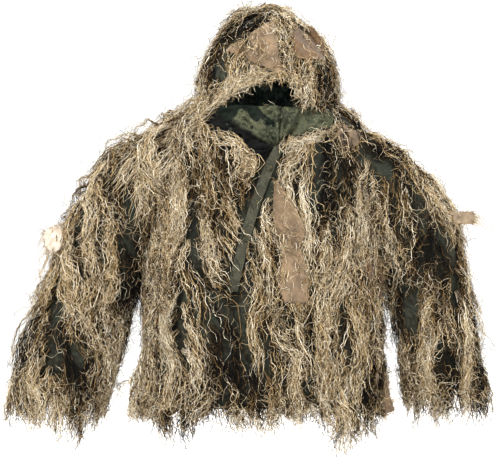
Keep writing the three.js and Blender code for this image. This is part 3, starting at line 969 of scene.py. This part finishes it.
def trace(roots, out, lengths, lifts, seed):
    """Hangs one guide from each root: it falls along the garment, lifted off it, into the locks."""
    steps, stiffness = 12, 0.45
    rng = np.random.default_rng(seed)
    count = len(roots)
    points = roots + out * 0.003
    heading = unit(out * 0.5 + DOWN)
    slack = rng.uniform(0.002, 0.010, count)
    path, outs = [points], [out]
    for k in range(steps):
        fall = DOWN - out * np.minimum((DOWN * out).sum(-1, keepdims=True), 0)
        height, slope = lock_slope(points, out)
        drift = rumple(points * [1, 1, 0.6], 451, 0.10)[:, None] * np.cross(out, DOWN)
        sway = rng.normal(size=(count, 3)) * 0.20 + 0.28 * drift
        heading = unit(heading * stiffness + unit(fall) * (1 - stiffness) - slope * 0.006 + sway)
        points = points + heading * (lengths / steps)[:, None]
        places, out = nearest(points)
        stands = ((points - places) * out).sum(-1)
        lift = 0.003 + lifts * np.clip(0.75 - 0.35 * height, 0.25, 1.3) * min(1, (k + 1) / 3)
        short, far = np.maximum(lift - stands, 0), np.maximum(stands - lift - slack, 0)
        points = points + out * (short - 0.8 * far)[:, None]
        path.append(points)
        outs.append(out)
    return np.stack(path, 1), np.stack(outs, 1)


def along_path(path, places):
    """Each path's points at the given shares of its length, from 0 to 1."""
    index = np.clip(places, 0, 0.9999) * (path.shape[1] - 1)
    low = index.astype(int)
    share = (index - low)[..., None]
    rows = np.arange(len(path))[:, None]
    return path[rows, low] * (1 - share) + path[rows, low + 1] * share


def curls(rng, count, waves):
    """A kinky wandering offset along each thread, of about unit size."""
    s = np.linspace(0, 1, THREAD_POINTS)[None, :, None]
    turns = rng.uniform(0.6, 1.0, (count, 1, 2)) * waves
    phase = rng.uniform(0, 2 * math.pi, (count, 1, 2))
    fast = rng.uniform(1.8, 2.6, (count, 1, 2))
    slow = np.sin(2 * math.pi * turns * s + phase)
    return (slow + 0.45 * np.sin(2 * math.pi * turns * fast * s + 2 * phase)) / 1.2


def split_threads(path, outs, each, seed, spread=0.010, curl=0.0042, waves=4.0, reach=(0.5, 1)):
    """The threads of each guide, which leave it sideways and curl as they go."""
    kink = 0.0020
    rng = np.random.default_rng(seed)
    path, outs = np.repeat(path, each, 0), np.repeat(outs, each, 0)
    count = len(path)
    s = np.linspace(0, 1, THREAD_POINTS)
    shares = s * rng.uniform(*reach, (count, 1))
    s = s[:, None]
    middle, out = along_path(path, shares), unit(along_path(outs, shares))
    side = unit(np.cross(out, unit(np.gradient(middle, axis=1))))
    widen = 0.003 + spread * s**0.8
    sideways = rng.normal(size=(count, 1, 1)) * widen
    outward = rng.uniform(-0.2, 1, (count, 1, 1)) * widen * 0.6
    wander = curls(rng, count, waves) * curl * np.minimum(1, 0.3 + 2 * s)
    wander = wander + rng.normal(size=(count, THREAD_POINTS, 2)) * kink
    return middle + side * (sideways + wander[..., :1]) + out * (outward + wander[..., 1:] * 0.7)


def tangles(path, outs, seed):
    """Loose kinked ends that lie across the locks, whichever way."""
    rng = np.random.default_rng(seed)
    count = len(path)
    place = rng.uniform(0.2, 1, (count, 1))
    middle, out = along_path(path, place), unit(along_path(outs, place))
    way = rng.normal(size=(count, 1, 3))
    way = unit(way - out * rng.uniform(0.5, 1, (count, 1, 1)) * (way * out).sum(-1, keepdims=True))
    s = np.linspace(-0.5, 0.5, THREAD_POINTS)[None, :, None] * rng.uniform(0.04, 0.11, (count, 1, 1))
    wander = curls(rng, count, 2.0) * 0.009
    side = np.cross(out, way)
    height = 0.006 + 0.6 * wander[..., 1:] + 0.004 * (s < 0)
    return middle + way * s + side * wander[..., :1] + out * height


def keep_clear(threads, tones, seed):
    """Cuts threads short where they would hang over a bare place, and pale ones over dark jute and
    painted fold shadow.
    """
    rng = np.random.default_rng(seed)
    points = threads.shape[1]
    banned = in_outline(threads, BARE)
    for where, chance in (
        (in_outline(threads, FLY_BAND), 0.96),
        (in_outline(threads, HOOD_PATCH), 0.92),
        ((darkness_and_shadow(threads) > 0.5) & (tones[:, None] > 0.4), 0.7),
    ):
        banned |= where & (rng.random((len(threads), 1)) < chance)
    covered = banned & (threads[..., 1] < -0.05)
    first = np.where(covered.any(1), covered.argmax(1), points)
    share = np.clip(first / points + rng.exponential(0.06, len(threads)), 0, 1)
    unbroken = np.linalg.norm(np.diff(threads, axis=1), axis=-1).max(1) < LONGEST_STEP
    cut = along_path(threads, np.linspace(0, 1, points)[None] * share[:, None])
    return cut, (share > SHORTEST_SHARE) & unbroken


def pressed(distance, most, margin):
    """A distance, with what it has past the most pressed into the margin."""
    past = np.maximum(distance - most, 0)
    return distance - past + margin * np.tanh(past / margin)


def within_reach(threads):
    """Presses in the threads that would stand out too far to any side, or hang too low."""
    middle = (CAD_BOX[0][0] + CAD_BOX[1][0]) / 2
    x, y, z = threads[..., 0] - middle, threads[..., 1], threads[..., 2]
    x = middle + np.sign(x) * pressed(np.abs(x), WIDEST, WIDE_MARGIN)
    y = np.sign(y) * pressed(np.abs(y), DEEPEST, DEEP_MARGIN)
    return np.stack([x, y, -pressed(-z, -LOWEST, LOW_MARGIN)], -1)


def thread_tones(base, seed):
    """One tone for each thread: about its lock's, with a few pale and dark ones in every lock."""
    rng = np.random.default_rng(seed)
    count = len(base) * THREADS_EACH
    tones = np.repeat(base, THREADS_EACH) + rng.normal(0, 0.20, count)
    odd = rng.random(count)
    tones = np.where(odd < 0.14, rng.uniform(0.85, 1, count), tones)
    tones = np.where(odd > 0.86, rng.uniform(0.0, 0.25, count), tones)
    return np.clip(tones, 0, 0.999)


def hull_front(x, z):
    """The depth of the hull's front where it is seen at (x, z), or of its nearest edge beside it."""
    y = np.empty(x.shape)
    for index in np.ndindex(x.shape):
        hit = HULL.ray_cast(Vector((x[index], -1, z[index])), Vector((0, 1, 0)))[0]
        if hit is None:
            hit = HULL.find_nearest(Vector((x[index], -0.05, z[index])))[0]
        y[index] = hit[1]
    return y


def resample(outline, count):
    """Points evenly along an outline given in millimetres."""
    outline = mm(outline)
    steps = np.linalg.norm(np.diff(outline, axis=0), axis=1)
    reached = np.concatenate([[0], np.cumsum(steps)]) / steps.sum()
    share = np.linspace(0, 1, count)
    return np.stack([np.interp(share, reached, outline[:, axis]) for axis in range(2)], -1)


def scatter(surface, rows, width_at, seed):
    """Root places in staggered rows: surface(row, share around) gives the points."""
    rng = np.random.default_rng(seed)
    found = []
    for k, row in enumerate(rows):
        around = max(int(width_at(row) / ROOTS_APART), 3)
        share = (np.arange(around) + 0.5 * (k % 2) + rng.uniform(-0.3, 0.3, around)) / around
        found.append(surface(row + rng.uniform(-0.3, 0.3, around) * ROOTS_APART, share))
    return np.concatenate(found)


def torso_roots():
    rows = np.append(HEM + 0.003, np.arange(HEM + 0.012, -0.005, ROOTS_APART))

    def surface(z, s):
        return torso_point(2 * math.pi * s, z)

    points = scatter(surface, rows, lambda z: 1.42 if z < -0.1 else 1.2, 501)
    bare = (points[:, 1] < 0) & (in_outline(points, BARE) | in_outline(points, FLY_BAND))
    return np.concatenate([points[~inside_sleeves(points, 0.2) & ~bare], edge_roots()])


def edge_roots():
    """Roots close along the edges of the bare throat and of the fly strip."""
    rng = np.random.default_rng(505)
    lines = [
        [(-168, -12), (-132, -56), (-66, -62), (-52, -92), (-24, -128)],
        [(52, -68), (86, -68), (176, -46), (196, -6)],
        [(-24, -146), (-58, -235), (-82, -335), (-106, -440)],
        [(72, -100), (50, -160), (4, -245), (-40, -345)],
    ]
    flat = np.concatenate([resample(line, 13) for line in lines])
    return on_front(*(flat + rng.normal(0, 0.003, flat.shape)).T)


def sleeve_roots(side):
    length = 0.87
    rows = np.arange(0.015, CUFF_END - 0.02, ROOTS_APART / length)
    rows = np.append(rows, CUFF_END - np.array([0.020, 0.012, 0.005]))

    def surface(t, s):
        return sleeve_point(side, t + 0 * s, 2 * math.pi * s)

    points = scatter(surface, rows, lambda t: 0.56, 502 + (side == "left"))
    return points[~inside_torso(points)]


def hood_roots():
    rows = np.append(np.linspace(0.03, 0.5 * math.pi - 0.03, 16), [1.44, 1.50, 1.54])

    def surface(angle, s):
        return hood_point(2 * math.pi * s, HOOD[-1, 0] * np.sin(np.clip(angle, 0.03, 1.56)))

    points = scatter(surface, rows, lambda a: 0.95 * math.cos(a) + 0.16, 504)
    face = (points[:, 1] < 0) & (points[:, 2] < face_edge(points[:, 0]) + 0.004)
    x = np.linspace(-0.138, 0.100, 22)
    z = face_edge(x) + 0.005
    brow = np.stack([x, hull_front(x, z), z], -1)
    return np.concatenate([points[~face], brow])


def facing_gap(points, out):
    """1 where the sleeves and the torso's sides face each other, where the fringe lies flat."""
    toward = np.where(np.abs(points[:, 0]) > 0.34, -1, 1) * np.sign(points[:, 0]) * out[:, 0]
    return np.clip(2 * toward - 0.7, 0, 1) * (points[:, 2] < -0.16) * (np.abs(points[:, 0]) < 0.56)


def guides(roots, seed, rng, length, lift):
    """A guide for the threads of each root kept, how much dark jute and painted fold shadow it passes,
    and how it lies.
    """
    middle = (roots[:, 2] < 0.25) & (roots[:, 2] > -0.65)
    roots = roots[(rumple(roots * [1, 1, 0.6], 431, 0.06) < 1.5) | ~middle]
    _, out = nearest(roots)
    count = len(roots)
    lengths = rng.uniform(*length, count)
    hang = hem_fringe(roots) + rng.normal(0, 0.012, count)
    room = np.maximum(roots[:, 2] - hang, 0.05)
    lengths = np.where(room < 0.22, room * rng.uniform(0.95, 1.35, count), np.minimum(lengths, room))
    layer = rng.random(count)
    inner = facing_gap(roots, out)
    extra = bulk(roots)
    lifts = layer * lift * np.where(extra > 0, 1, 1 - 0.9 * inner) + (0.4 + 0.6 * layer) * extra
    path, outs = trace(roots, out, lengths * (1 - 0.35 * inner), lifts, seed)
    dark = np.clip(2.2 * darkness_and_shadow(path).mean(1), 0, 1)
    keep = rng.random(count) > 0.6 * dark * (roots[:, 2] > -0.65)
    return [part[keep] for part in (roots, path, outs, dark, layer, lifts)]


def grow(roots, seed, length, lift):
    """Hangs all the threads of a set of roots; returns them with their tones, radii and roots."""
    rng = np.random.default_rng(seed)
    roots, path, outs, dark, layer, lifts = guides(roots, seed + 1, rng, length, lift)
    low = path - outs * (0.75 * lifts)[:, None, None]
    count = len(roots)
    every = np.arange(count)
    # A lock's tone: paler the further it stands off the cloth, a painted shade by depth; darker in dark
    # jute and painted fold shadow; and varied at random.
    base = 0.52 + 0.30 * layer + 0.14 * rumple(roots * [1, 1, 0.35], 441, 0.09) - 0.85 * dark
    upper = split_threads(path, outs, THREADS_EACH, seed + 2)
    upper_tones = thread_tones(base, seed + 3)
    loose = rng.choice(count, int(count * WISPS_EACH))
    wisps = split_threads(path[loose], outs[loose], 2, seed + 4, 0.022, 0.010, 2.2, (0.7, 1.0))
    wisp_tones = np.where(rng.random(len(wisps)) < 0.75, rng.uniform(0.8, 1, len(wisps)), 0.05)
    crossing = rng.choice(count, int(count * TANGLES_EACH))
    tangled = tangles(path[crossing], outs[crossing], seed + 6)
    tangled_tones = np.clip(rng.normal(0.70, 0.25, len(tangled)), 0, 0.999)
    under = split_threads(low, outs, UNDER_EACH, seed + 7, 0.018, 0.006, reach=(0.6, 1.0))
    # The threads under the locks are dark: painted shade in the gaps between the locks.
    under_shade_tones = rng.uniform(0.02, 0.42, len(under))
    threads = np.concatenate([upper, under, wisps, tangled])
    tones = np.concatenate([upper_tones, under_shade_tones, wisp_tones, tangled_tones])
    owner = [every.repeat(THREADS_EACH), every.repeat(UNDER_EACH), loose.repeat(2), crossing]
    fat, thin = len(upper) + len(under), len(wisps) + len(tangled)
    thick = np.repeat([JUTE_RADIUS, 0.55 * JUTE_RADIUS], [fat, thin])
    threads, whole = keep_clear(within_reach(threads), tones, seed + 5)
    return threads[whole], tones[whole], thick[whole], roots[np.concatenate(owner)[whole]]


# Bundles that lie along a line of their own: its points across and up, the bundle's width and lift, all
# in millimetres, then how many threads it has and their tone.
SWEPT = [
    ([(15, 92), (-50, 80), (-105, 50), (-165, 10), (-200, -50)], 20, 21, 60, 0.85),
    ([(75, 100), (30, 95), (-20, 88), (-80, 62), (-135, 18)], 16, 20, 44, 0.80),
    ([(60, 120), (92, 60), (100, 30), (85, 12)], 18, 18, 36, 0.75),
    ([(190, -46), (130, -68), (80, -86), (50, -110)], 18, 19, 30, 0.90),
    ([(-150, -36), (-110, -68), (-68, -80), (-50, -150), (-80, -200)], 20, 18, 26, 0.75),
    ([(-80, -92), (-46, -110), (-26, -136), (-38, -165), (-70, -162)], 12, 24, 32, 0.66),
    ([(-120, 20), (-220, -30), (-330, -110), (-400, -220)], 34, 30, 54, 0.80),
    ([(-140, -10), (-220, -80), (-300, -180), (-340, -300)], 30, 26, 46, 0.85),
    ([(215, -52), (300, -64), (380, -130), (450, -230)], 22, 22, 22, 0.62),
]


def crown_threads(rng):
    """Threads that lie across the top of the hood, where the hanging ones part."""
    count = 110
    turn = rng.uniform(0, math.pi, (count, 1))
    reach, shift = rng.uniform(0.4, 1, (count, 1)), rng.uniform(-0.4, 0.4, (count, 1))
    along = 0.055 * (np.linspace(-1, 1, THREAD_POINTS) * reach + shift)
    wander = curls(rng, count, 2.4) * 0.009
    x = along * np.cos(turn) + rng.normal(0.006, 0.012, (count, 1)) + wander[..., 0]
    y = along * np.sin(turn) + rng.normal(0, 0.012, (count, 1)) + wander[..., 1]
    lift = rng.uniform(0.010, 0.026, (count, 1))
    z = HOOD[-1, 0] + lift - 4.5 * (x**2 + y**2) + 0.5 * wander[..., 0]
    return np.stack([x + HOOD_CENTRE[0], y + HOOD_CENTRE[1], z], -1)


def swept_bundles(seed):
    """The threads of the bundles that lie along lines of their own, as grow() returns them."""
    rng = np.random.default_rng(seed)
    threads, tones = [], []
    for line, width, lift, count, tone in SWEPT:
        middle = resample(line, THREAD_POINTS)
        ahead = np.gradient(middle, axis=0)
        across = unit(np.stack([-ahead[:, 1], ahead[:, 0]], -1))
        share = np.linspace(0, 1, THREAD_POINTS) * rng.uniform(0.5, 1, (count, 1))
        share = np.clip(share + rng.uniform(0, 0.3, (count, 1)), 0, 1)
        flat, aside = (along_path(np.repeat(part[None], count, 0), share) for part in (middle, across))
        wander = curls(rng, count, 2.4) * 0.009 + rng.normal(0, 0.002, (count, THREAD_POINTS, 2))
        flat = flat + aside * (rng.normal(0, 0.5 * width / 1000, (count, 1, 1)) + wander[..., :1])
        x, z = flat[..., 0], flat[..., 1]
        y = hull_front(x, z) - lift / 1000 * rng.uniform(0.6, 1.1, (count, 1)) + wander[..., 1]
        threads.append(np.stack([x, y, z], -1))
        tones.append(np.clip(rng.normal(tone, 0.18, count), 0, 0.999))
    threads.append(crown_threads(rng))
    tones.append(np.clip(rng.normal(0.72, 0.18, len(threads[-1])), 0, 0.999))
    threads, tones = within_reach(np.concatenate(threads)), np.concatenate(tones)
    return threads, tones, np.full(len(tones), 0.8 * JUTE_RADIUS), threads[:, 0].copy()


def thread_piece(name, grown, chosen):
    threads, tones, thick = (part[chosen] for part in grown[:3])
    rng = np.random.default_rng(len(threads))
    taper = np.linspace(1, 0.55, threads.shape[1])
    radii = thick[:, None] * rng.uniform(0.7, 1.45, (len(threads), 1)) * taper
    return new_object(name, strand_mesh(name, threads, radii, tones), JUTE)


def with_others(grown, others, chosen):
    return [np.concatenate([a, b[chosen]]) for a, b in zip(grown, others)]


def torso_jute(torso, kept):
    """The torso's threads, in four quarters at three heights."""
    roots = torso[3]
    front = roots[:, 1] < 0
    edge = np.interp(roots[:, 2], [SLANT_FOOT[1], V_FOOT[1]], [SLANT_FOOT[0], V_FOOT[0]])
    right = np.where(front, roots[:, 0] < edge, roots[:, 0] < 0)
    levels = {
        "upper": (CHEST_LEVEL, 1), "middle": (WAIST_LEVEL, CHEST_LEVEL), "lower": (-1, WAIST_LEVEL),
    }
    for name, chosen in {
        "front_right": front & right, "front_left": front & ~right,
        "back_right": ~front & right, "back_left": ~front & ~right,
    }.items():
        for part, (low, high) in levels.items():
            level = (roots[:, 2] > low) & (roots[:, 2] <= high)
            piece = thread_piece(f"jute_{name}_{part}", torso, chosen & level & kept)
            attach(piece, "jacket")
            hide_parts(f"fringe_{name}")


def sleeve_jute(side, arm):
    """A sleeve's threads, parted where its bodies meet, and front from back below the elbow."""
    height, front = arm[3][:, 2], arm[3][:, 1] < 0
    upper, lower = (sleeve_centre(side, t)[2] for t in (MID_UPPER_ARM, MID_FOREARM))
    shoulder = thread_piece(f"jute_shoulder_{side}", arm, height > upper)
    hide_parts(f"fringe_sleeve_upper_{side}")
    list(turns(side, "shoulder"))
    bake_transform(shoulder)
    elbow = thread_piece(f"jute_elbow_{side}", arm, (height <= upper) & (height > lower))
    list(turns(side, "elbow"))
    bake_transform(elbow)
    for face, chosen in (("front", front), ("back", ~front)):
        forearm = thread_piece(f"jute_forearm_{face}_{side}", arm, (height <= lower) & chosen)
        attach(forearm, f"lower_sleeve_{side}")
        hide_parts(f"fringe_sleeve_lower_{side}")


def hood_jute(hood):
    x, (low, high) = hood[3][:, 0], (-0.05, 0.07)
    for name, chosen in {"right": x < low, "crown": (x >= low) & (x < high), "left": x >= high}.items():
        piece = thread_piece(f"jute_hood_{name}", hood, chosen)
        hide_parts(f"fringe_hood_{name}")
        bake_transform(piece)


def jute():
    swept = swept_bundles(650)
    on_hood = swept[3][:, 2] > 0.03
    torso = with_others(grow(torso_roots(), 600, (0.12, 0.28), 0.018), swept, ~on_hood)
    roots = torso[3]
    on_sleeve = (np.abs(roots[:, 0]) > 0.20) & (roots[:, 2] > -0.14)
    torso_jute(torso, ~on_sleeve)
    for side in SIDES:
        of_side = on_sleeve & ((roots[:, 0] < 0) == (side == "right"))
        arm = grow(sleeve_roots(side), 700 + 10 * (side == "left"), (0.10, 0.24), 0.017)
        sleeve_jute(side, with_others(arm, torso, of_side))
    hood_jute(with_others(grow(hood_roots(), 800, (0.08, 0.18), 0.016), swept, on_hood))


jute()


# ---------------------------------------------------------------- burlap strips


def soften(field, passes):
    """Evens a grid of values out with their neighbours."""
    for _ in range(passes):
        wide = np.pad(field, 1, mode="edge")
        field = (field + wide[:-2, 1:-1] + wide[2:, 1:-1] + wide[1:-1, :-2] + wide[1:-1, 2:]) / 5
    return field


def frayed_ends(edge, outward, seed):
    """Loose yarns standing out of a cut edge."""
    rng = np.random.default_rng(seed)
    count, points = len(edge), 6
    places = np.sort(rng.uniform(0, count - 1, count))
    start = resample_points(edge, places)
    way = unit(resample_points(outward, places) + rng.normal(0, 0.6, (count, 3)))
    s = np.linspace(0, 1, points)[None, :, None]
    length = rng.exponential(0.010, (count, 1, 1)) + 0.003
    droop = np.array([0, 0, -0.6]) * s**2 * length
    kinks = rng.normal(0, 0.0008, (count, points, 3))
    return within_reach(start[:, None] + way[:, None] * s * length + droop + kinks)


def resample_points(line, places):
    return np.stack([np.interp(places, np.arange(len(line)), line[:, axis]) for axis in range(3)], -1)


def strip_points(left, right, lift, seed, rng):
    """The points of a ragged strip between two edges, pressed in where threads cross it."""
    rows, columns = 56, 30
    wave, crossed = 0.006, -0.345
    left, right = resample(left, rows), resample(right, rows)
    share = np.linspace(0, 1, columns)[None, :, None]
    x, z = np.moveaxis(left[:, None] * (1 - share) + right[:, None] * share, -1, 0)
    rest = flat_points(x, z)
    ragged = rumple(rest, seed, 0.006) * 0.0012
    edge = np.ones(x.shape)
    edge[1:-1, 1:-1] = 0
    x = x + edge * (ragged + rng.normal(0, 0.0008, x.shape))
    z = z + edge * (ragged + rng.normal(0, 0.0008, x.shape))
    depth = soften(hull_front(x, z), 12)
    ripple = wave * rumple(rest * [1, 0.6, 1], seed + 1, 0.05)
    ripple += 0.3 * wave * rumple(rest, seed + 2, 0.018)
    dip = 0.014 * np.exp(-(((z - crossed + 0.5 * (x - 0.07)) / 0.014) ** 2))
    return np.stack([x, np.maximum(depth - lift / 1000 + ripple + dip, FOREMOST), z], -1)


def flat_size(points):
    """A strip's width, length and area, measured along the cloth."""
    down, across = np.diff(points, axis=0), np.diff(points, axis=1)
    length = np.linalg.norm(down, axis=-1).sum(0).max()
    width = np.linalg.norm(across, axis=-1).sum(1).max()
    area = np.linalg.norm(np.cross(down[:, :-1], across[:-1]), axis=-1).sum()
    return width, length, max(area, LEAST_SHARE * width * length)


def burlap_strip(name, left, right, lift, body, material, seed):
    """A strip of burlap between two edges, each given from its top down, with its frayed ends."""
    rng = np.random.default_rng(seed)
    points = strip_points(left, right, lift, seed, rng)
    strip = cloth(f"burlap_{name}_cloth", points, material, BURLAP_CLOTH)
    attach(strip, body)
    if f"burlap_{name}" in bpy.data.objects:
        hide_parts(f"burlap_{name}")
    ends = []
    for net in (points.swapaxes(0, 1), points):
        for edge, inner in ((0, 2), (-1, -3)):
            outward = unit(net[edge] - net[inner])
            ends.append(frayed_ends(net[edge], outward, seed + 3 + len(ends)))
    ends = np.concatenate(ends)
    radii = np.full(ends.shape[:2], FRAY_RADIUS)
    tones = rng.uniform(0.4, 0.85, len(ends))
    mesh = strand_mesh(f"burlap_{name}_fray", ends, radii, tones)
    fray = new_object(mesh.name, mesh, JUTE)
    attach(fray, body)
    width, length, area = flat_size(points)


def burlap():
    """Each strip's left and right edges and its lift, in millimetres, then its body and its cloth."""
    strips = {
        "chest": (
            [(26, -186), (22, -250), (26, -332), (58, -352), (30, -440), (52, -497)],
            [(34, -190), (74, -242), (108, -310), (94, -350), (108, -410), (113, -500)],
            27, "jacket", BURLAP,
        ),
        "shoulder": (
            [(200, -30), (190, -66), (200, -100)],
            [(262, -54), (250, -80), (216, -108)],
            20, "jacket", BURLAP,
        ),
        "hem": (
            [(292, -690), (298, -740), (304, -802)],
            [(326, -696), (334, -750), (346, -790)],
            18, "jacket", BURLAP,
        ),
        "hood_front": (
            [(18, 240), (-103, 159), (-65, 143), (-20, 120), (30, 98)],
            [(28, 238), (32, 194), (34, 160), (40, 130), (46, 100)],
            22, "hood", BURLAP,
        ),
        "chest_patch": (
            [(268, -385), (262, -430), (272, -500)],
            [(306, -380), (318, -440), (312, -490)],
            20, "jacket", BURLAP_BROWN,
        ),
        "hood_side": (
            [(78, 236), (76, 180), (84, 134)],
            [(134, 222), (160, 180), (160, 134)],
            31, "hood", BURLAP_BROWN,
        ),
        "sleeve_left": (
            [(470, -262), (462, -280), (470, -292)],
            [(560, -262), (563, -280), (560, -296)],
            12, "upper_sleeve_left", BURLAP_FADED,
        ),
        "sleeve_right": (
            [(-592, -312), (-588, -346), (-572, -372)],
            [(-545, -296), (-535, -330), (-540, -364)],
            6, "upper_sleeve_right", BURLAP_PALE,
        ),
    }
    for k, (name, strip) in enumerate(strips.items()):
        burlap_strip(name, *strip, 900 + 20 * k)


burlap()
